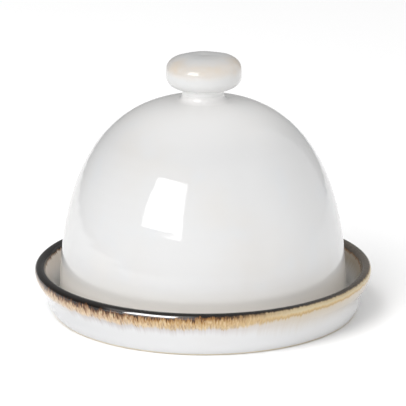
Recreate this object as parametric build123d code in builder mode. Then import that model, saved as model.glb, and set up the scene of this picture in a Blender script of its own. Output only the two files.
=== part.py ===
from build123d import *
import math
import os

# Butter dish: a round dish with a rolled rim, a tall dome that stands on its
# floor, and a knob on top of the dome. Millimetres, +Z up, centred on Z, with
# the dish's foot at Z = 0. Points of an outline are (radius, height).

# Dish
DISH_HEIGHT = 22.0
RIM_RADIUS = 80.0
BEAD_RADIUS = 2.4
LIP_BULGE = (78.48, 14.61)
SHOULDER = (74.8, 10.85)
SHOULDER_BLEND = 4
WALL_BULGE = (74.5, 5.9)
FOOT_RADIUS = 71.8
FOOT_RING_INNER = 66.2
FOOT_ROUNDING = 0.7
RECESS_RADIUS = 64.7
RECESS_HEIGHT = 1.5
FLOOR_HEIGHT = 6.0
FLOOR_RADIUS = 68.4
FLOOR_CORNER = (69.85, 6.65)
INNER_WALL_FOOT = (70.4, 8.2)
INNER_WALL_BULGE = (72.2, 13.6)

# Dome: a superellipse about a centre a little below the dish's foot
DOME_RADIUS = 68.3
DOME_TOP = 102.5
DOME_CENTRE = -2.0
DOME_EXPONENT = 2.525
DOME_WALL = 5.0
MOUTH_OUTER_ROUNDING = 1.6
MOUTH_INNER_ROUNDING = 1.2

# Collar of the dome and neck of the knob, which meet face to face
COLLAR_RADIUS = 9.8
COLLAR_TOP = 105.0
FLARE_RADIUS = 12.55

# Knob: a flat superellipse above its waist and a flatter one below
KNOB_RADIUS = 17.8
KNOB_WAIST = 115.2
KNOB_CROWN_RISE = 9.0
KNOB_CROWN_EXPONENT = 2.8
KNOB_UNDER_DROP = 8.0
KNOB_UNDER_EXPONENT = 3.2
DIMPLE_RADIUS = 9.0
DIMPLE_DEPTH = 0.6
NECK_FLARE_RADIUS = 11.0
NECK_TOP = 106.34

CURVE_POINTS = 20


def oval_points(radius, rise, exponent, centre, last_radius):
    """Points of a superellipse quarter, from its widest circle in to last_radius."""
    last_angle = math.acos((last_radius / radius) ** (exponent / 2))
    points = []
    for step in range(CURVE_POINTS):
        angle = last_angle * step / (CURVE_POINTS - 1)
        across = radius * math.cos(angle) ** (2 / exponent)
        height = centre + rise * math.sin(angle) ** (2 / exponent)
        points.append((across, height))
    return points


os.makedirs("parts", exist_ok=True)

# The dish: foot ring, thrown wall, flared lip with a rolled bead, flat floor
bead_height = DISH_HEIGHT - BEAD_RADIUS
bead_centre = RIM_RADIUS - BEAD_RADIUS

with BuildPart() as dish:
    with BuildSketch(Plane.XZ) as dish_profile:
        with BuildLine() as dish_outline:
            recess = Line((0, RECESS_HEIGHT), (RECESS_RADIUS, RECESS_HEIGHT))
            ring_slope = Line(recess @ 1, (FOOT_RING_INNER, 0))
            foot_ring = Line(ring_slope @ 1, (FOOT_RADIUS, 0))
            wall = ThreePointArc(foot_ring @ 1, WALL_BULGE, SHOULDER)
            lip = ThreePointArc(wall @ 1, LIP_BULGE, (RIM_RADIUS, bead_height))
            bead = ThreePointArc(
                lip @ 1,
                (bead_centre, DISH_HEIGHT),
                (bead_centre - BEAD_RADIUS, bead_height),
            )
            inner_wall = ThreePointArc(bead @ 1, INNER_WALL_BULGE, INNER_WALL_FOOT)
            corner = ThreePointArc(
                inner_wall @ 1, FLOOR_CORNER, (FLOOR_RADIUS, FLOOR_HEIGHT)
            )
            floor = Line(corner @ 1, (0, FLOOR_HEIGHT))
            Line(floor @ 1, recess @ 0)
        make_face()
        foot_corners = dish_profile.vertices().group_by(Axis.Y)[0]
        fillet(foot_corners, FOOT_ROUNDING)
        shoulder_corner = dish_profile.vertices().sort_by_distance(SHOULDER)[0]
        fillet(shoulder_corner, SHOULDER_BLEND)
    revolve(axis=Axis.Z)

dish.part.label = "dish"
export_step(dish.part, "parts/dish.step")

# The lid's dome: an even wall, open at the mouth, with the collar flared on top
outer_points = oval_points(
    DOME_RADIUS,
    DOME_TOP - DOME_CENTRE,
    DOME_EXPONENT,
    DOME_CENTRE,
    FLARE_RADIUS,
)
inner_points = oval_points(
    DOME_RADIUS - DOME_WALL,
    DOME_TOP - DOME_WALL - DOME_CENTRE,
    DOME_EXPONENT,
    DOME_CENTRE,
    0,
)

with BuildPart() as lid_dome:
    with BuildSketch(Plane.XZ) as dome_profile:
        with BuildLine() as dome_outline:
            outside = Spline(*outer_points)
            flare = TangentArc(
                outside @ 1, (COLLAR_RADIUS, COLLAR_TOP), tangent=outside % 1
            )
            joint_face = Line(flare @ 1, (0, COLLAR_TOP))
            inside = Spline(*inner_points)
            Line(joint_face @ 1, inside @ 1)
            Line(inside @ 0, outside @ 0)
        make_face()
    revolve(axis=Axis.Z)
    split(bisect_by=Plane.XY.offset(FLOOR_HEIGHT), keep=Keep.TOP)
    mouth_edges = lid_dome.edges().group_by(Axis.Z)[0].sort_by(SortBy.LENGTH)
    fillet(mouth_edges[-1], MOUTH_OUTER_ROUNDING)
    mouth_edges = lid_dome.edges().group_by(Axis.Z)[0].sort_by(SortBy.LENGTH)
    fillet(mouth_edges[0], MOUTH_INNER_ROUNDING)

lid_dome.part.label = "lid_dome"
export_step(lid_dome.part, "parts/lid_dome.step")

# The lid's knob: a round head with a shallow hollow on top, on a short neck
crown_points = oval_points(
    KNOB_RADIUS,
    KNOB_CROWN_RISE,
    KNOB_CROWN_EXPONENT,
    KNOB_WAIST,
    DIMPLE_RADIUS,
)
dimple_bottom = (0, KNOB_WAIST + KNOB_CROWN_RISE - DIMPLE_DEPTH)
under_points = oval_points(
    KNOB_RADIUS,
    -KNOB_UNDER_DROP,
    KNOB_UNDER_EXPONENT,
    KNOB_WAIST,
    NECK_FLARE_RADIUS,
)

with BuildPart() as lid_knob:
    with BuildSketch(Plane.XZ) as knob_profile:
        with BuildLine() as knob_outline:
            crown = Spline(*crown_points, dimple_bottom, tangents=[(0, 1), (-1, 0)])
            underside = Spline(*under_points)
            blend = TangentArc(
                underside @ 1, (COLLAR_RADIUS, NECK_TOP), tangent=underside % 1
            )
            neck = Line(blend @ 1, (COLLAR_RADIUS, COLLAR_TOP))
            seat = Line(neck @ 1, (0, COLLAR_TOP))
            Line(seat @ 1, crown @ 1)
        make_face()
    revolve(axis=Axis.Z)

lid_knob.part.label = "lid_knob"
export_step(lid_knob.part, "parts/lid_knob.step")
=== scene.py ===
import math

import bpy
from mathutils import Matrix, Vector, noise


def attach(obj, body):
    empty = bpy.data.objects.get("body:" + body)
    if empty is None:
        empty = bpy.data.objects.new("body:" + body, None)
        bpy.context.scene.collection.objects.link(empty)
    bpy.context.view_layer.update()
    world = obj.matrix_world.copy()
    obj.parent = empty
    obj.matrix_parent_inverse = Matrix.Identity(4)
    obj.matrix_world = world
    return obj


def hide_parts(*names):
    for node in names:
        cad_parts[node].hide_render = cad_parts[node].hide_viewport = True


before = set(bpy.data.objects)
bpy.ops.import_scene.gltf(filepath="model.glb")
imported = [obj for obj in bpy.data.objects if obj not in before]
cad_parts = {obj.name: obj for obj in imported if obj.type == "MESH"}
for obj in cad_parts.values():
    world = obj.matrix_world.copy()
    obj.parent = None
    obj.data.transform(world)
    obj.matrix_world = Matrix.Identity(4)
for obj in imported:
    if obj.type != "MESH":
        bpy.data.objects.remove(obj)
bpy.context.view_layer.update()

# A glazed stoneware butter dish: a low round dish with a dark, running rim, and a
# tall white dome with a knob. Outlines are (radius, height) in millimetres, and
# the pieces that they make are in metres, in the CAD frame.

MM = 0.001
DIAGONAL = math.sqrt(0.5)

# The dish's outline
DISH_HEIGHT = 22.0
RIM_RADIUS = 80.0
BEAD_RADIUS = 2.4
LIP_BULGE = (78.48, 14.61)
SHOULDER = (74.8, 10.85)
WALL_BULGE = (74.5, 5.9)
FOOT_RADIUS = 71.8
FOOT_RING_INNER = 66.2
FOOT_ROUNDING = 0.7
RECESS_RADIUS = 64.7
RECESS_HEIGHT = 1.5
FLOOR_HEIGHT = 6.0
FLOOR_RADIUS = 68.4
FLOOR_CORNER = (69.85, 6.65)
INNER_WALL_FOOT = (70.4, 8.2)
INNER_WALL_BULGE = (72.2, 13.6)

# The dome's outline, a superellipse
DOME_RADIUS = 68.3
DOME_TOP = 102.5
DOME_CENTRE = -2.0
DOME_EXPONENT = 2.525
DOME_WALL = 5.0
MOUTH_OUTER_ROUNDING = 1.6
MOUTH_INNER_ROUNDING = 1.2
COLLAR_RADIUS = 9.8
COLLAR_TOP = 105.0
FLARE_RADIUS = 13.3
JOINT_ROUNDING = 0.15

# The knob's outline, a superellipse above its waist and another below
KNOB_RADIUS = 17.8
KNOB_WAIST = 115.0
KNOB_CROWN_RISE = 8.6
KNOB_CROWN_EXPONENT = 2.9
KNOB_UNDER_DROP = 8.0
KNOB_UNDER_EXPONENT = 3.2
DIMPLE_RADIUS = 9.0
DIMPLE_DEPTH = 0.35
NECK_FLARE_RADIUS = 11.4
NECK_TOP = 106.34

# Hand-made unevenness
DISH_OUT_OF_ROUND = 0.12
DISH_RIPPLE = 0.05
DISH_FOOT_SHIFT = 0.9
DOME_SWELL = 0.16
DOME_RINGS = 0.018
KNOB_PRESS = 0.1
KNOB_HOLLOW = 0.6
KNOB_SHIFT = 0.4

# Points round each turned piece
DISH_SEGMENTS = 320
DOME_SEGMENTS = 256
KNOB_SEGMENTS = 160

# The camera looks at a point on the dish's axis, from the front and a little above
CAMERA_ELEVATION = math.radians(16.5)
CAMERA_DISTANCE = 1.6
CAMERA_AIM = Vector((0.0, 0.0, 0.0513))
CAMERA_LENS = 300.3

# Directions round the object are degrees from the front, positive to the right
GLAZE_RUN_SIDE = -34.0
DARK_RUN_SIDE = -50.0
CREAM_SIDE = 75.0
# Where the black rim is painted greyer as painted sheen, and the beige inside painted darker as painted
# shade
SHEEN_AND_SHADE_SIDE = 95.0
# The side where the dish's white wall is painted greyer, as painted shade
PAINTED_SHADE_SIDE = -80.0
GLASSY_SIDE = -18.0

# Studio light, as radiance with 1.0 for a white that just clips. Places are
# (degrees from the front, degrees up, metres away), sizes and corners are in metres.
LIGHT_AIM = Vector((0.0, 0.0, 0.06))
KEY_PLACE = (-36.0, 29.0, 1.0)
KEY_SIZE = (0.65, 0.61)
KEY_RADIANCE = 3.1
GLINT_CORNERS = ((-0.309, -0.283), (0.325, -0.285), (0.252, 0.264), (-0.219, 0.294))
GLINT_RADIANCE = 7.2
FLOOR_LIGHT_PLACE = (-46.0, 57.0, 3.0)
FLOOR_LIGHT_SIZE = (2.2, 2.2)
FLOOR_LIGHT_RADIANCE = 3.7
SIDE_RADIANCE = 0.30
TOP_RADIANCE = 0.70
GLOW_RADIANCE = 0.285
GLOW_SIDE = 15.0
CARD_RADIANCE = 0.38
CARD_FIRST_SIDE, CARD_LAST_SIDE, CARD_TOP = 52.0, 140.0, 57.0
CARD_EDGE = 0.02

# The studio's floor is a disc
STUDIO_FLOOR_RADIUS = 0.9
STUDIO_FLOOR_POINTS = 96


# --- outlines -------------------------------------------------------------------


def line(start, end, steps):
    """Points of a straight run, without its first."""
    points = []
    for step in range(1, steps + 1):
        share = step / steps
        points.append((
            start[0] + (end[0] - start[0]) * share,
            start[1] + (end[1] - start[1]) * share,
        ))
    return points


def arc(start, bulge, end, steps):
    """Points of the circular arc from start through bulge to end, without its first."""
    ax, ay = bulge[0] - start[0], bulge[1] - start[1]
    bx, by = end[0] - start[0], end[1] - start[1]
    cross = 2 * (ax * by - ay * bx)
    a2, b2 = ax * ax + ay * ay, bx * bx + by * by
    centre = (
        start[0] + (by * a2 - ay * b2) / cross,
        start[1] + (ax * b2 - bx * a2) / cross,
    )
    radius = math.dist(centre, start)
    first = math.atan2(start[1] - centre[1], start[0] - centre[0])
    middle = math.atan2(bulge[1] - centre[1], bulge[0] - centre[0])
    last = math.atan2(end[1] - centre[1], end[0] - centre[0])
    turn = (last - first) % (2 * math.pi)
    if (middle - first) % (2 * math.pi) > turn:
        turn -= 2 * math.pi
    points = []
    for step in range(1, steps + 1):
        angle = first + turn * step / steps
        points.append((
            centre[0] + radius * math.cos(angle),
            centre[1] + radius * math.sin(angle),
        ))
    return points


def bend(start, corner, end, steps):
    """Points of a smooth turn from start to end that rounds off corner, without its first."""
    points = []
    for step in range(1, steps + 1):
        t = step / steps
        a, b, c = (1 - t) ** 2, 2 * t * (1 - t), t * t
        points.append((
            a * start[0] + b * corner[0] + c * end[0],
            a * start[1] + b * corner[1] + c * end[1],
        ))
    return points


def soften(before, after, cut):
    """Two runs that meet in a corner, with a smooth turn in place of the cut points
    on either side of it."""
    low, high = before[:-cut], after[cut:]
    ax, ay = low[-1][0] - low[-2][0], low[-1][1] - low[-2][1]
    bx, by = high[0][0] - high[1][0], high[0][1] - high[1][1]
    gap_x, gap_y = high[0][0] - low[-1][0], high[0][1] - low[-1][1]
    reach = (gap_x * by - gap_y * bx) / (ax * by - ay * bx)
    corner = (low[-1][0] + ax * reach, low[-1][1] + ay * reach)
    return low + bend(low[-1], corner, high[0], 2 * cut) + high[1:]


def oval(radius, rise, exponent, centre, first_angle, last_radius, steps):
    """Points of a superellipse quarter, from first_angle in to last_radius."""
    last_angle = math.acos((last_radius / radius) ** (exponent / 2))
    points = []
    for step in range(steps + 1):
        angle = first_angle + (last_angle - first_angle) * step / steps
        points.append((
            radius * max(0.0, math.cos(angle)) ** (2 / exponent),
            centre + rise * math.sin(angle) ** (2 / exponent),
        ))
    return points


def oval_angle(height, rise, exponent, centre):
    """The superellipse angle at this height."""
    return math.asin(((height - centre) / rise) ** (exponent / 2))


def dish_outline():
    """The dish from the middle of its underside, up the outside, over the rim and back
    to the middle of its floor, and the number of the point on the crest of the rim."""
    bead_height = DISH_HEIGHT - BEAD_RADIUS
    bead_centre = RIM_RADIUS - BEAD_RADIUS
    foot_start = (FOOT_RADIUS - FOOT_ROUNDING, 0.0)
    foot_end = (FOOT_RADIUS + 0.25, FOOT_ROUNDING)
    points = [(0.0, RECESS_HEIGHT)]
    points += line(points[-1], (RECESS_RADIUS, RECESS_HEIGHT), 24)
    points += line(points[-1], (FOOT_RING_INNER, 0.0), 4)
    points += line(points[-1], foot_start, 8)
    points += bend(points[-1], (FOOT_RADIUS, 0.0), foot_end, 6)
    wall = arc(points[-1], WALL_BULGE, SHOULDER, 24)
    lip = arc(SHOULDER, LIP_BULGE, (RIM_RADIUS, bead_height), 30)
    points += soften(wall, lip, 10)
    slant = BEAD_RADIUS * DIAGONAL
    points += arc(
        points[-1], (bead_centre + slant, bead_height + slant), (bead_centre, DISH_HEIGHT), 14)
    crest = len(points) - 1
    points += arc(
        points[-1], (bead_centre - slant, bead_height + slant),
        (bead_centre - BEAD_RADIUS, bead_height), 14)
    points += arc(points[-1], INNER_WALL_BULGE, INNER_WALL_FOOT, 24)
    points += arc(points[-1], FLOOR_CORNER, (FLOOR_RADIUS, FLOOR_HEIGHT), 8)
    points += line(points[-1], (0.0, FLOOR_HEIGHT), 30)
    return points, crest


def dome_outline():
    """The dome from the collar's top, down the outside, round the mouth and up the inside."""
    rise = DOME_TOP - DOME_CENTRE
    inner_radius = DOME_RADIUS - DOME_WALL
    inner_rise = rise - DOME_WALL
    outer_start = oval_angle(FLOOR_HEIGHT + MOUTH_OUTER_ROUNDING, rise, DOME_EXPONENT, DOME_CENTRE)
    inner_start = oval_angle(FLOOR_HEIGHT + MOUTH_INNER_ROUNDING, inner_rise, DOME_EXPONENT, DOME_CENTRE)
    outside = oval(DOME_RADIUS, rise, DOME_EXPONENT, DOME_CENTRE, outer_start, FLARE_RADIUS, 110)
    inside = oval(inner_radius, inner_rise, DOME_EXPONENT, DOME_CENTRE, inner_start, 0.0, 60)
    mouth_out, mouth_in = outside[0], inside[0]
    mouth_rim = (mouth_out[0] - MOUTH_OUTER_ROUNDING, FLOOR_HEIGHT)
    collar_edge = (COLLAR_RADIUS, COLLAR_TOP - JOINT_ROUNDING)
    collar_foot = (COLLAR_RADIUS + 0.1, outside[-1][1] + 0.25)
    points = [(0.0, COLLAR_TOP)]
    points += line(points[-1], (COLLAR_RADIUS - JOINT_ROUNDING, COLLAR_TOP), 6)
    points += bend(points[-1], (COLLAR_RADIUS, COLLAR_TOP), collar_edge, 5)
    points += bend(points[-1], collar_foot, outside[-1], 14)
    points += outside[-2::-1]
    points += bend(mouth_out, (mouth_out[0], FLOOR_HEIGHT), mouth_rim, 8)
    points += line(points[-1], (mouth_in[0] + MOUTH_INNER_ROUNDING, FLOOR_HEIGHT), 4)
    points += bend(points[-1], (mouth_in[0], FLOOR_HEIGHT), mouth_in, 6)
    points += inside[1:]
    return points


def knob_outline():
    """The knob from the middle of its seat, out round the head, to the middle of its top."""
    under = oval(
        KNOB_RADIUS, -KNOB_UNDER_DROP, KNOB_UNDER_EXPONENT, KNOB_WAIST, 0.0, NECK_FLARE_RADIUS, 30
    )
    crown = oval(
        KNOB_RADIUS, KNOB_CROWN_RISE, KNOB_CROWN_EXPONENT, KNOB_WAIST, 0.0, DIMPLE_RADIUS, 40
    )
    neck_edge = (COLLAR_RADIUS, COLLAR_TOP + JOINT_ROUNDING)
    neck_head = (COLLAR_RADIUS, under[-1][1] - 0.25)
    dimple = (0.0, KNOB_WAIST + KNOB_CROWN_RISE - DIMPLE_DEPTH)
    dimple_side = (DIMPLE_RADIUS * 0.5, dimple[1] + 0.42)
    points = [(0.0, COLLAR_TOP)]
    points += line(points[-1], (COLLAR_RADIUS - JOINT_ROUNDING, COLLAR_TOP), 6)
    points += bend(points[-1], (COLLAR_RADIUS, COLLAR_TOP), neck_edge, 5)
    points += line(points[-1], (COLLAR_RADIUS, NECK_TOP), 3)
    points += bend(points[-1], neck_head, under[-1], 8)
    points += under[-2::-1]
    points += crown[1:]
    points += bend(points[-1], dimple_side, dimple, 14)
    return points


# --- meshes ---------------------------------------------------------------------


def ring_faces(rings, segments):
    """The faces between each ring of points and the next. A ring of one point is on
    the axis."""
    faces = []
    for low, high in zip(rings, rings[1:]):
        for segment in range(segments):
            after = (segment + 1) % segments
            if len(low) == 1:
                faces.append((low[0], high[after], high[segment]))
            elif len(high) == 1:
                faces.append((low[segment], low[after], high[0]))
            else:
                faces.append((low[segment], low[after], high[after], high[segment]))
    return faces


def lathe(name, outline, segments, shape, crest=None):
    """A closed turned piece. shape(radius, height, angle) gives the point's uneven
    radius, its height and its shift along X. With crest, each point keeps its run in
    mm from the rim's crest, positive down the outside, in the attribute rim_run."""
    runs = [0.0]
    for before, after in zip(outline, outline[1:]):
        runs.append(runs[-1] + math.dist(before, after))
    verts, rim_run, rings = [], [], []
    for (radius, height), run in zip(outline, runs):
        ring = []
        for segment in range(1 if radius < 1e-6 else segments):
            angle = 2 * math.pi * segment / segments
            r, z, shift = shape(radius, height, angle)
            ring.append(len(verts))
            verts.append(((r * math.cos(angle) + shift) * MM, r * math.sin(angle) * MM, z * MM))
            rim_run.append(runs[crest] - run if crest else 0.0)
        rings.append(ring)
    mesh = bpy.data.meshes.new(name)
    mesh.from_pydata(verts, [], ring_faces(rings, segments))
    mesh.validate()
    mesh.update()
    if crest:
        attribute = mesh.attributes.new("rim_run", "FLOAT", "POINT")
        attribute.data.foreach_set("value", rim_run)
    mesh.polygons.foreach_set("use_smooth", [True] * len(mesh.polygons))
    piece = bpy.data.objects.new(name, mesh)
    bpy.context.scene.collection.objects.link(piece)
    return piece


def clip(value):
    """The value, kept between 0 and 1."""
    return min(1.0, max(0.0, value))


def dish_shape(radius, height, angle):
    """The dish is slightly out of round and its foot sits a touch to one side."""
    rise = height / DISH_HEIGHT
    reach = min(1.0, radius / RIM_RADIUS)
    wave = (0.5 * math.sin(2 * angle + 0.6) + 0.3 * math.sin(3 * angle + 2.0)
            + 0.2 * math.sin(5 * angle))
    ripple = noise.noise(Vector((4 * math.cos(angle), 4 * math.sin(angle), height * 0.1)))
    narrower = DISH_OUT_OF_ROUND * reach * rise * (1.5 - wave)
    dip = DISH_OUT_OF_ROUND * (1 - wave) * max(0.0, rise - 0.3)
    shift = DISH_FOOT_SHIFT * (1 - rise) ** 2 * reach
    return radius - narrower + DISH_RIPPLE * ripple * reach, height - dip, shift


def dome_shape(radius, height, angle):
    """Faint throwing rings and a slow swell over the dome, none at its mouth or collar."""
    free = clip((height - 9.0) / 12.0) * clip((radius - 12.0) / 14.0)
    place = Vector((radius * math.cos(angle), radius * math.sin(angle), height)) / 34.0
    swell = DOME_SWELL * noise.noise(place)
    rings = DOME_RINGS * math.sin(height * 1.15 + 1.5 * math.sin(angle + height * 0.03))
    return radius + free * (swell + rings), height, 0.0


def knob_shape(radius, height, angle):
    """The knob is pressed a little uneven and sits a touch off the dome's axis."""
    free = clip((height - NECK_TOP) / 4.0) * radius / KNOB_RADIUS
    top = clip((height - KNOB_WAIST - 3.0) / 5.0)
    across = Vector((radius * math.cos(angle), radius * math.sin(angle), 5.0)) / 11.0
    around = Vector((math.cos(angle), math.sin(angle), height * 0.12)) * 1.3
    dip = max(0.0, KNOB_HOLLOW * top * (0.25 + noise.noise(across)))
    press = KNOB_PRESS * free * (0.6 + noise.noise(around))
    return radius - press, height - dip, KNOB_SHIFT * min(1.0, (height - COLLAR_TOP) / 3.0)


# --- shader helpers -------------------------------------------------------------


class Nodes:
    """Adds nodes to one node tree with short calls that return their outputs."""

    def __init__(self, tree):
        self.tree = tree

    def new(self, kind):
        return self.tree.nodes.new("ShaderNode" + kind)

    def link(self, value, socket):
        """Feeds a socket from another socket, or sets it to a plain value."""
        if isinstance(value, bpy.types.NodeSocket):
            self.tree.links.new(value, socket)
        else:
            socket.default_value = value

    def math(self, operation, a, b=0.0, clamp=False):
        node = self.new("Math")
        node.operation = operation
        node.use_clamp = clamp
        self.link(a, node.inputs[0])
        self.link(b, node.inputs[1])
        return node.outputs[0]

    def add(self, first, *others):
        for other in others:
            first = self.math("ADD", first, other)
        return first

    def times(self, first, *others):
        for other in others:
            first = self.math("MULTIPLY", first, other)
        return first

    def minus(self, a, b):
        return self.math("SUBTRACT", a, b)

    def step(self, value, low, high):
        """0 below low, 1 above high, smooth between them; low may be above high."""
        node = self.new("MapRange")
        node.interpolation_type = "SMOOTHSTEP"
        self.link(value, node.inputs["Value"])
        self.link(low, node.inputs["From Min"])
        self.link(high, node.inputs["From Max"])
        return node.outputs["Result"]

    def split(self, vector):
        node = self.new("SeparateXYZ")
        self.link(vector, node.inputs[0])
        return node.outputs[0], node.outputs[1], node.outputs[2]

    def vector(self, x, y, z):
        node = self.new("CombineXYZ")
        self.link(x, node.inputs[0])
        self.link(y, node.inputs[1])
        self.link(z, node.inputs[2])
        return node.outputs[0]


class Shader(Nodes):
    """The nodes of one material. Its place is in metres in the piece's own frame."""

    def __init__(self, name):
        self.material = bpy.data.materials.new(name)
        self.material.use_nodes = True
        super().__init__(self.material.node_tree)
        self.tree.nodes.clear()
        output = self.new("OutputMaterial")
        self.surface = self.new("BsdfPrincipled")
        self.link(self.surface.outputs["BSDF"], output.inputs["Surface"])
        self.place = self.new("TexCoord").outputs["Object"]
        self.x, self.y, self.z = self.split(self.place)

    def feed(self, name, value):
        """Feeds or sets one input of the surface."""
        self.link(value, self.surface.inputs[name])

    def noise(self, place, scale, detail=2.0, roughness=0.5):
        node = self.new("TexNoise")
        self.link(place, node.inputs["Vector"])
        node.inputs["Scale"].default_value = scale
        node.inputs["Detail"].default_value = detail
        node.inputs["Roughness"].default_value = roughness
        return node.outputs[0]

    def specks(self, place, scale, size):
        """1 in small round specks, one at most in each cell, 0 elsewhere."""
        node = self.new("TexVoronoi")
        self.link(place, node.inputs["Vector"])
        node.inputs["Scale"].default_value = scale
        return self.step(node.outputs["Distance"], size, size * 0.4)

    def blend(self, share, a, b):
        """Colour a where share is 0, b where it is 1."""
        node = self.new("Mix")
        node.data_type = "RGBA"
        self.link(share, node.inputs[0])
        for socket, value in ((node.inputs[6], a), (node.inputs[7], b)):
            self.link(value if isinstance(value, bpy.types.NodeSocket) else (*value, 1.0), socket)
        return node.outputs[2]

    def ramp(self, value, stops):
        """A colour that follows value through stops of (value, colour)."""
        node = self.new("ValToRGB")
        elements = node.color_ramp.elements
        while len(elements) < len(stops):
            elements.new(1.0)
        for element, (position, colour) in zip(elements, stops):
            element.position = position
            element.color = (*colour, 1.0)
        self.link(value, node.inputs[0])
        return node.outputs["Color"]

    def bump(self, height, distance, strength):
        node = self.new("Bump")
        node.inputs["Strength"].default_value = strength
        node.inputs["Distance"].default_value = distance
        self.link(height, node.inputs["Height"])
        self.feed("Normal", node.outputs[0])


def srgb(red, green, blue):
    """A colour given as 0 to 255 display values, as the shader's linear values."""
    channels = []
    for value in (red, green, blue):
        share = value / 255.0
        channels.append(share / 12.92 if share < 0.04045 else ((share + 0.055) / 1.055) ** 2.4)
    return tuple(channels)


def side(degrees):
    """The horizontal direction that many degrees from the front, positive to the right."""
    angle = math.radians(degrees)
    return math.sin(angle), -math.cos(angle)


# --- the lid's white glaze ------------------------------------------------------

WHITE_GLAZE = srgb(226, 226, 226)
WARM_GLAZE = srgb(224, 221, 217)
COOL_GLAZE = srgb(223, 226, 229)
SPECK = srgb(176, 168, 158)
# Painted light: the whiter glaze at the dome's mouth and on its collar, which the dish's wall and the
# knob shade
MOUTH_PAINTED_LIGHT = srgb(241, 239, 235)
COLLAR_PAINTED_LIGHT = srgb(248, 247, 246)
# Painted shade on the knob's head, and painted light on its neck, which the head shades
KNOB_PAINTED_SHADE = srgb(212, 212, 211)
NECK_PAINTED_LIGHT = srgb(244, 244, 243)
KNOB_TAN = srgb(224, 208, 188)
GLAZE_ROUGHNESS = 0.07
GLAZE_RIPPLE = 110.0

# Heights in metres between which the dome's glaze is painted whiter, as painted light against the shade
# that the dish's wall and the knob cast
MOUTH_PAINTED_LIGHT_HEIGHTS = (0.032, 0.020)
COLLAR_PAINTED_LIGHT_HEIGHTS = (0.084, 0.1035)


def white_ground(shader):
    """The white glaze's own colour: slow warm and cool drifts and rare faint specks."""
    drift = shader.step(shader.noise(shader.place, 22.0, 3.0), 0.45, 0.75)
    cloud = shader.step(shader.noise(shader.place, 60.0), 0.5, 0.8)
    ground = shader.blend(shader.times(drift, 0.6), WHITE_GLAZE, WARM_GLAZE)
    ground = shader.blend(shader.times(cloud, 0.4), ground, COOL_GLAZE)
    speck = shader.times(shader.specks(shader.place, 70.0, 0.022), 0.3)
    return shader.blend(speck, ground, SPECK)


def glassy_surface(shader):
    """Glassy glaze with a faint ripple."""
    shader.feed("IOR", 1.52)
    shader.feed("Roughness", GLAZE_ROUGHNESS)
    shader.bump(shader.noise(shader.place, GLAZE_RIPPLE), 0.00012, 0.25)


def dome_glaze():
    """White glaze. It is made whiter towards the mouth and on the collar, to make up
    for the shade that the dish's wall and the knob cast there."""
    shader = Shader("dome_white_glaze")
    mouth = shader.step(shader.z, *MOUTH_PAINTED_LIGHT_HEIGHTS)
    collar = shader.step(shader.z, *COLLAR_PAINTED_LIGHT_HEIGHTS)
    colour = shader.blend(mouth, white_ground(shader), MOUTH_PAINTED_LIGHT)
    colour = shader.blend(shader.times(collar, 0.8), colour, COLLAR_PAINTED_LIGHT)
    shader.feed("Base Color", colour)
    glassy_surface(shader)
    return shader.material


def knob_glaze():
    """White glaze with a warm tan round the knob's shoulder. The head is made greyer as painted shade,
    and the neck, in the head's shade, whiter as painted light."""
    shader = Shader("knob_white_glaze")
    height = shader.add(shader.z, shader.times(shader.noise(shader.place, 90.0), 0.003))
    above = shader.step(height, (KNOB_WAIST + 0.5) * MM, (KNOB_WAIST + 5.5) * MM)
    below = shader.step(height, (KNOB_WAIST + 10.0) * MM, (KNOB_WAIST + 7.2) * MM)
    patchy = shader.step(shader.noise(shader.place, 70.0, 3.0), 0.25, 0.7)
    tan = shader.times(above, below, shader.add(0.15, shader.times(patchy, 0.65)))
    neck = shader.step(shader.z, (NECK_TOP + 2.5) * MM, NECK_TOP * MM)
    # Painted shade: the head greyer; painted light: the neck whiter
    colour = shader.blend(0.35, white_ground(shader), KNOB_PAINTED_SHADE)
    colour = shader.blend(shader.times(neck, 0.9), colour, NECK_PAINTED_LIGHT)
    shader.feed("Base Color", shader.blend(tan, colour, KNOB_TAN))
    glassy_surface(shader)
    return shader.material


# --- the dish's running glaze ---------------------------------------------------

NEAR_BLACK = srgb(18, 12, 8)
# Painted sheen: the lighter grey laid over the black rim on the right
PAINTED_SHEEN_GREY = srgb(122, 112, 100)
CLAY_DARK, CLAY_PALE = srgb(204, 194, 172), srgb(218, 208, 190)

# The streaks' colours, from where the dark glaze stops, at 0, to their tips, at 1
GOLDEN_STREAKS = (
    (0.0, srgb(64, 38, 18)), (0.09, srgb(112, 74, 38)), (0.22, srgb(152, 110, 60)),
    (0.36, srgb(176, 138, 86)), (0.6, srgb(198, 168, 122)), (1.0, srgb(200, 184, 158)))
DUSKY_STREAKS = (
    (0.0, srgb(56, 34, 20)), (0.12, srgb(92, 60, 36)), (0.26, srgb(128, 94, 66)),
    (0.42, srgb(168, 134, 102)), (0.6, srgb(200, 172, 142)), (1.0, srgb(204, 190, 172)))
CREAM_STREAKS = (
    (0.0, srgb(164, 140, 106)), (0.1, srgb(196, 178, 142)), (0.42, srgb(207, 191, 156)),
    (0.6, srgb(200, 174, 128)), (0.76, srgb(184, 154, 106)), (1.0, srgb(200, 186, 160)))


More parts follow.
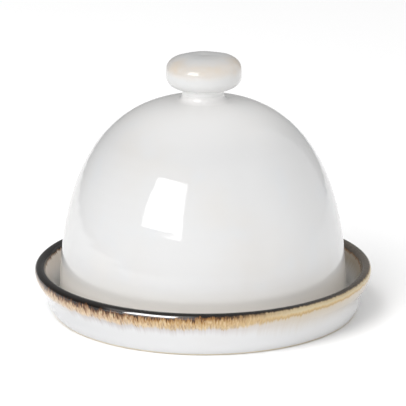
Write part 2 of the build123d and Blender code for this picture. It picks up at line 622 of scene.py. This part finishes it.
class RimShader(Shader):
    """The dish's shader. run is the way in mm from the rim's crest, positive down the
    outside and negative down the inside. The rest tell one side of the dish from
    another: long_run where the streaks are longest, heavy where they are darkest,
    creamy where they are cream, and the last on the right, where the black rim is painted
    greyer as painted sheen and the beige inside is painted darker as painted shade."""

    def __init__(self, name):
        super().__init__(name)
        attribute = self.new("Attribute")
        attribute.attribute_name = "rim_run"
        self.run = attribute.outputs["Fac"]
        self.radius = self.math(
            "SQRT", self.add(self.times(self.x, self.x), self.times(self.y, self.y)))
        divisor = self.math("MAXIMUM", self.radius, 0.001)
        self.ux = self.math("DIVIDE", self.x, divisor)
        self.uy = self.math("DIVIDE", self.y, divisor)
        self.long_run = self.towards(GLAZE_RUN_SIDE, 2.0)
        self.heavy = self.towards(DARK_RUN_SIDE, 6.0)
        self.creamy = self.step(self.towards(CREAM_SIDE, 3.0), 0.25, 0.7)
        # Painted sheen on the black rim and painted shade on the beige inside, on the right
        self.sheen_and_shade = self.towards(SHEEN_AND_SHADE_SIDE, 4.0)
        self.hair = self.add(
            self.times(self.streaks(0.62, 3.2, 0.0), 0.6),
            self.times(self.streaks(1.7, 5.0, 7.0), 0.4))

    def towards(self, degrees, sharpness):
        """1 on the side that many degrees from the front, falling to 0 on the far side."""
        dx, dy = side(degrees)
        facing = self.add(self.times(self.ux, dx), self.times(self.uy, dy))
        return self.math("POWER", self.add(0.5, self.times(facing, 0.5)), sharpness)

    def streaks(self, pitch, length, seed, detail=2.0):
        """Noise with cells about pitch mm wide round the rim and length mm down it."""
        wide = RIM_RADIUS / pitch
        down = self.add(self.times(self.run, 1.0 / length), seed)
        place = self.vector(self.times(self.ux, wide), self.times(self.uy, wide), down)
        return self.noise(place, 1.0, detail, 0.55)

    def uneven(self, pitch, length, seed, detail=1.0):
        """The same noise, above and below 0."""
        return self.minus(self.streaks(pitch, length, seed, detail), 0.5)

    def scaled(self, value, least, side_share, more):
        """The value times least, and times least and more where side_share is 1."""
        return self.times(value, self.add(least, self.times(side_share, more)))


def dark_glaze_end(shader):
    """Where the near-black glaze stops, in mm down the outside."""
    heavy = shader.heavy
    return shader.add(
        1.9, shader.times(heavy, 1.6),
        shader.scaled(shader.uneven(1.0, 4.0, 3.0, 2.0), 0.9, heavy, 2.0),
        shader.scaled(shader.uneven(2.4, 30.0, 17.0), 0.6, heavy, 4.5))


def streaks_end(shader):
    """Where the streaks stop, in mm down the outside."""
    long_run = shader.long_run
    slow = shader.minus(shader.noise(shader.vector(shader.ux, shader.uy, 0.0), 2.2), 0.5)
    middle = shader.add(5.2, shader.times(long_run, 4.6), shader.times(slow, 2.5))
    return shader.add(
        shader.minus(middle, shader.creamy),
        shader.scaled(shader.uneven(0.8, 30.0, 11.0), 1.2, long_run, 3.0),
        shader.scaled(shader.uneven(3.4, 40.0, 23.0), 0.8, long_run, 3.4))


def streak_colour(shader, reach):
    """The streaks' colour where reach is how far through them a point is: dusky where
    they are heavy, golden in front, cream on the right."""
    wander = shader.scaled(shader.minus(shader.hair, 0.5), 1.9, shader.creamy, -1.6)
    place = shader.math("ADD", reach, wander, clamp=True)
    dusky_share = shader.step(shader.heavy, 0.45, 0.95)
    colour = shader.blend(
        dusky_share, shader.ramp(place, GOLDEN_STREAKS), shader.ramp(place, DUSKY_STREAKS))
    return shader.blend(shader.creamy, colour, shader.ramp(place, CREAM_STREAKS))


def with_dashes(shader, reach, colour):
    """The streaks' colour with brown and pale dashes, except on the cream side."""
    streaky = shader.minus(1.0, shader.creamy)
    brown_dash = shader.times(
        shader.step(shader.hair, 0.49, 0.6), shader.step(reach, 0.25, 0.7), streaky, 0.7)
    brown = shader.blend(shader.heavy, srgb(172, 132, 86), srgb(132, 96, 66))
    colour = shader.blend(brown_dash, colour, brown)
    pale = shader.step(shader.streaks(0.8, 3.5, 31.0, 1.0), 0.5, 0.62)
    pale_dash = shader.times(pale, streaky, shader.step(reach, 0.1, 0.35), 0.6)
    return shader.blend(pale_dash, colour, srgb(222, 200, 162))


def wall_colour(shader, streak_end):
    """White, made greyer on the left as painted shade, with a faint halo below the streaks that is
    widest on the cream side."""
    white = shader.blend(0.5, white_ground(shader), srgb(212, 213, 215))
    # Painted shade: the wall's white greyer on the left
    painted_shade = shader.times(shader.towards(PAINTED_SHADE_SIDE, 5.0), 0.6)
    white = shader.blend(painted_shade, white, srgb(198, 199, 201))
    halo_end = shader.add(5.0, shader.times(shader.creamy, 8.0))
    halo = shader.step(shader.minus(shader.run, streak_end), halo_end, 0.0)
    halo = shader.scaled(halo, 0.85, shader.creamy, 0.15)
    halo_colour = shader.blend(shader.heavy, srgb(206, 201, 201), srgb(182, 175, 174))
    halo_colour = shader.blend(shader.creamy, halo_colour, srgb(199, 189, 175))
    return shader.blend(halo, white, halo_colour)


def inside_glaze(shader):
    """The colour inside, a feathered brown edge, then beige, then white, with the beige
    painted darker on the right as painted shade, and the share of near-black glaze above them."""
    depth = shader.add(
        shader.times(shader.run, -1.0),
        shader.times(shader.uneven(1.0, 6.0, 21.0, 3.0), 2.0),
        shader.times(shader.uneven(3.0, 30.0, 41.0), 2.0))
    # Painted shade: the beige painted darker on the right
    beige = shader.blend(shader.sheen_and_shade, srgb(240, 231, 221), srgb(172, 160, 142))
    colour = shader.blend(shader.step(depth, 6.0, 14.0), beige, srgb(240, 239, 237))
    edge = shader.times(shader.step(depth, 5.0, 3.7), 0.9)
    colour = shader.blend(edge, colour, srgb(134, 92, 50))
    return colour, shader.step(depth, 3.9, 3.3)


def foot_ring(shader):
    """1 on the foot ring and a thin line above the table, where the clay is bare."""
    low = shader.step(shader.z, 1.0 * MM, 0.6 * MM)
    outer = shader.step(shader.radius, (RECESS_RADIUS - 0.7) * MM, (RECESS_RADIUS + 0.1) * MM)
    return shader.times(low, outer)


def dish_surface(shader, dark, ring, in_band):
    """Glassy glaze with relief in the streaks, dry clay under the foot, and a stretch
    of the rim's bead at the front left that is made more mirror-like."""
    shader.feed("IOR", 1.46)
    shader.feed("Roughness", shader.add(
        GLAZE_ROUGHNESS, shader.times(ring, 0.7), shader.times(dark, 0.05)))
    ripple = shader.noise(shader.place, GLAZE_RIPPLE)
    shader.bump(
        shader.add(shader.times(ripple, 0.25), shader.times(shader.hair, in_band, 0.15)),
        0.00015, 0.4)
    bead = shader.times(shader.step(shader.run, 3.7, 3.3), shader.step(shader.run, 1.8, 2.2))
    front = shader.step(shader.towards(GLASSY_SIDE, 40.0), 0.35, 0.6)
    shader.feed("Coat Weight", shader.times(bead, front))
    shader.feed("Coat IOR", 2.4)
    shader.feed("Coat Roughness", 0.05)


def dish_glaze():
    """White glaze with a near-black rim that runs down in caramel streaks outside,
    a feathered brown edge inside, and bare clay under the foot."""
    shader = RimShader("dish_running_glaze")
    dark_end, streak_end = dark_glaze_end(shader), streaks_end(shader)
    past_dark = shader.minus(shader.run, dark_end)
    streak_length = shader.math("MAXIMUM", shader.minus(streak_end, dark_end), 0.5)
    reach = shader.math("DIVIDE", past_dark, streak_length)
    in_band = shader.step(shader.minus(streak_end, shader.run), -1.3, 0.9)
    streaks = with_dashes(shader, reach, streak_colour(shader, reach))
    outer_colour = shader.blend(in_band, wall_colour(shader, streak_end), streaks)
    outer_dark = shader.step(past_dark, 0.45, -0.5)
    inner_colour, inner_dark = inside_glaze(shader)
    inside = shader.step(shader.run, 0.0, -0.5)
    colour = shader.blend(inside, outer_colour, inner_colour)
    dark = shader.add(
        shader.times(outer_dark, shader.minus(1.0, inside)), shader.times(inner_dark, inside))
    # Painted sheen: the black rim painted greyer on the right
    painted_sheen = shader.times(shader.sheen_and_shade, shader.sheen_and_shade, shader.add(0.2, shader.hair))
    colour = shader.blend(dark, colour, shader.blend(painted_sheen, NEAR_BLACK, PAINTED_SHEEN_GREY))
    ring = foot_ring(shader)
    clay = shader.blend(shader.noise(shader.place, 900.0, 3.0), CLAY_DARK, CLAY_PALE)
    shader.feed("Base Color", shader.blend(ring, colour, clay))
    dish_surface(shader, dark, ring, in_band)
    return shader.material


# --- pieces ---------------------------------------------------------------------


def add_piece(node, outline, segments, shape, material, body, crest=None):
    """One turned piece that stands for the CAD node."""
    piece = lathe(node + "_glazed", outline, segments, shape, crest)
    piece.data.materials.append(material)
    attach(piece, body)
    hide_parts(node)


def add_pieces():
    outline, crest = dish_outline()
    add_piece(
        "dish", outline, DISH_SEGMENTS, dish_shape, dish_glaze(), "dish", crest)
    add_piece(
        "lid_dome", dome_outline(), DOME_SEGMENTS, dome_shape, dome_glaze(), "lid")
    add_piece(
        "lid_knob", knob_outline(), KNOB_SEGMENTS, knob_shape, knob_glaze(), "lid")


# --- studio ---------------------------------------------------------------------


def plain_material(name):
    """A material without reflections, and its surface."""
    material = bpy.data.materials.new(name)
    material.use_nodes = True
    surface = material.node_tree.nodes["Principled BSDF"]
    surface.inputs["Specular IOR Level"].default_value = 0.0
    return material, surface


def add_floor():
    """A plain pale floor."""
    radius, count = STUDIO_FLOOR_RADIUS, STUDIO_FLOOR_POINTS
    edge = []
    for number in range(count):
        angle = 2 * math.pi * number / count
        edge.append((radius * math.cos(angle), radius * math.sin(angle), 0.0))
    mesh = bpy.data.meshes.new("floor")
    mesh.from_pydata(edge, [], [tuple(range(count))])
    floor = bpy.data.objects.new("floor", mesh)
    bpy.context.scene.collection.objects.link(floor)
    material, surface = plain_material("floor_white")
    surface.inputs["Base Color"].default_value = (0.93, 0.93, 0.93, 1.0)
    surface.inputs["Roughness"].default_value = 0.9
    mesh.materials.append(material)
    return floor


def put_facing(panel, place):
    """Puts a panel at its place, turned to face the dish."""
    degrees, up, distance = place
    x, y = side(degrees)
    up = math.radians(up)
    away = Vector((x * math.cos(up), y * math.cos(up), math.sin(up)))
    panel.location = LIGHT_AIM + away * distance
    panel.rotation_mode = "QUATERNION"
    panel.rotation_quaternion = away.to_track_quat("Z", "Y")
    bpy.context.scene.collection.objects.link(panel)


def add_softbox(name, place, size, radiance):
    """A soft rectangular light."""
    data = bpy.data.lights.new(name, "AREA")
    data.shape = "RECTANGLE"
    data.size, data.size_y = size
    data.energy = radiance * math.pi * size[0] * size[1]
    light = bpy.data.objects.new(name, data)
    put_facing(light, place)
    return light


def add_glint(name, place, corners, radiance):
    """A bright four-cornered panel that shows only as a reflection."""
    mesh = bpy.data.meshes.new(name)
    mesh.from_pydata([(x, y, 0.0) for x, y in corners], [], [(0, 1, 2, 3)])
    panel = bpy.data.objects.new(name, mesh)
    material, surface = plain_material(name)
    surface.inputs["Base Color"].default_value = (0.0, 0.0, 0.0, 1.0)
    surface.inputs["Emission Color"].default_value = (1.0, 1.0, 1.0, 1.0)
    surface.inputs["Emission Strength"].default_value = radiance
    material.cycles.emission_sampling = "NONE"
    mesh.materials.append(material)
    put_facing(panel, place)
    panel.visible_camera = False
    panel.visible_diffuse = False
    panel.visible_shadow = False


def card_strength(nodes, x, y, height):
    """The faint wide card on the right, by its sides and its top."""
    bearing = nodes.math("ARCTAN2", x, nodes.times(y, -1.0))
    first, last = math.radians(CARD_FIRST_SIDE), math.radians(CARD_LAST_SIDE)
    top = math.sin(math.radians(CARD_TOP))
    return nodes.times(
        nodes.step(bearing, first - CARD_EDGE, first + CARD_EDGE),
        nodes.step(bearing, last + CARD_EDGE, last - CARD_EDGE),
        nodes.step(height, top + CARD_EDGE, top - CARD_EDGE), CARD_RADIANCE)


def add_world():
    """A surround that is brighter overhead, with a broad low glow in front and a faint
    card on the right. The camera itself sees plain white behind the floor."""
    world = bpy.data.worlds.new("studio")
    world.use_nodes = True
    nodes = Nodes(world.node_tree)
    x, y, height = nodes.split(nodes.new("TexCoord").outputs["Generated"])
    front_x, front_y = side(GLOW_SIDE)
    facing = nodes.add(nodes.times(x, front_x), nodes.times(y, front_y))
    glow = nodes.times(
        nodes.step(facing, -0.1, 0.75), nodes.step(height, 0.95, 0.25), GLOW_RADIANCE)
    overhead = nodes.times(nodes.step(height, 0.3, 0.9), TOP_RADIANCE - SIDE_RADIANCE)
    card = card_strength(nodes, x, y, height)
    seen = nodes.new("LightPath").outputs["Is Camera Ray"]
    strength = nodes.math("MAXIMUM", nodes.add(SIDE_RADIANCE, overhead, glow, card), seen)
    background = world.node_tree.nodes["Background"]
    background.inputs["Color"].default_value = (1.0, 1.0, 1.0, 1.0)
    nodes.link(strength, background.inputs["Strength"])
    bpy.context.scene.world = world


def add_lights(floor):
    """The softbox, the panel that stands for it in the glaze, and a wide light from
    the left that falls on the floor alone."""
    lit = bpy.data.collections.new("lit_floor")
    lit.objects.link(floor)
    floor_light = add_softbox(
        "floor_light", FLOOR_LIGHT_PLACE, FLOOR_LIGHT_SIZE, FLOOR_LIGHT_RADIANCE)
    floor_light.light_linking.receiver_collection = lit
    key = add_softbox("key_softbox", KEY_PLACE, KEY_SIZE, KEY_RADIANCE)
    key.visible_glossy = False
    add_glint("key_glint", KEY_PLACE, GLINT_CORNERS, GLINT_RADIANCE)


def add_camera():
    """A long lens that looks down a little at the front."""
    data = bpy.data.cameras.new("camera")
    data.lens = CAMERA_LENS
    data.sensor_width = 36.0
    data.clip_start, data.clip_end = 0.1, 20.0
    camera = bpy.data.objects.new("camera", data)
    back = Vector((0.0, -math.cos(CAMERA_ELEVATION), math.sin(CAMERA_ELEVATION)))
    camera.location = CAMERA_AIM + back * CAMERA_DISTANCE
    camera.rotation_mode = "QUATERNION"
    camera.rotation_quaternion = back.to_track_quat("Z", "Y")
    bpy.context.scene.collection.objects.link(camera)
    bpy.context.scene.camera = camera


def set_colours():
    """Colours are shown as they are, without a film look."""
    view = bpy.context.scene.view_settings
    view.view_transform = "Standard"
    view.look = "None"
    view.exposure = 0.0


add_camera()
add_world()
add_lights(add_floor())
add_pieces()
set_colours()
